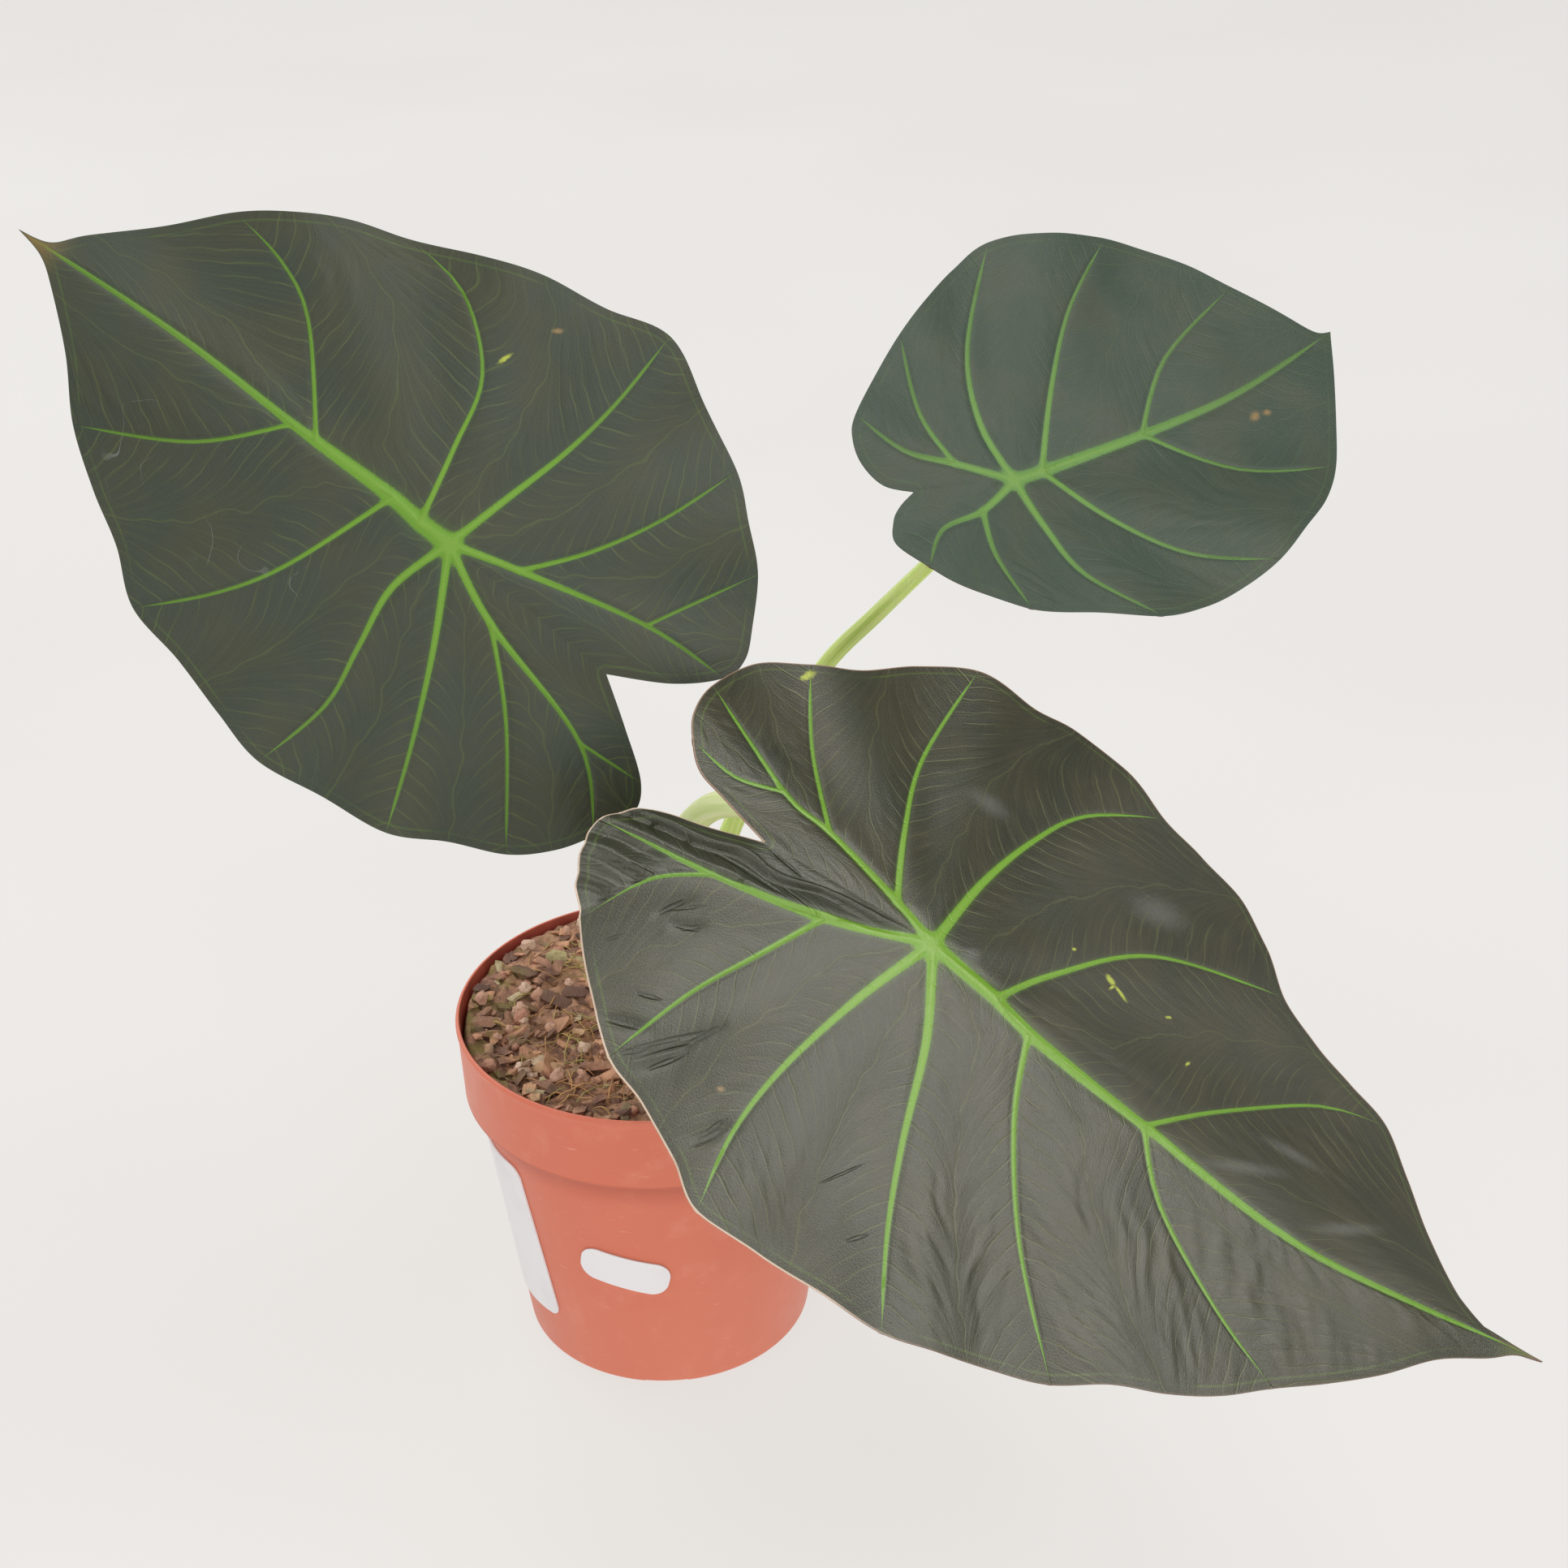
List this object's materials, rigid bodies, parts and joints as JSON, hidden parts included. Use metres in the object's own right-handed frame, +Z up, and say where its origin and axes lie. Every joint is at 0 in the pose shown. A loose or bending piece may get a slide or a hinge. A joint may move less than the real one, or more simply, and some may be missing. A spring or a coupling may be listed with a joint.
{
  "type": "potted alocasia plant",
  "caption": "Potted alocasia: large dark shield-shaped leaves on arching stalks, rooted in soil in a round terracotta-coloured plastic nursery pot.",
  "frame": {"origin": "centre of the pot's flat base", "axes": "+Z up along the pot's axis, -Y towards the front of the plant, +X to its right"},
  "size_m": [0.3719, 0.2813, 0.3588],
  "materials": {
    "pot": "moulded terracotta-coloured plastic, slightly glossy",
    "soil": "coarse bark and coconut chips with pale perlite",
    "label": "blank white sticker, satin",
    "stalk": "smooth yellow-green stalk",
    "blade": "dark grey-green satin leaf with bright green veins, maroon beneath"
  },
  "bodies": {
    "root": {"pot": "pot", "soil": "soil", "label_small": "label", "label_large": "label", "stalk_left": "stalk", "blade_left": "blade", "stalk_front": "stalk", "blade_front": "blade", "stalk_back": "stalk", "blade_back": "blade"}
  },
  "joints": []
}
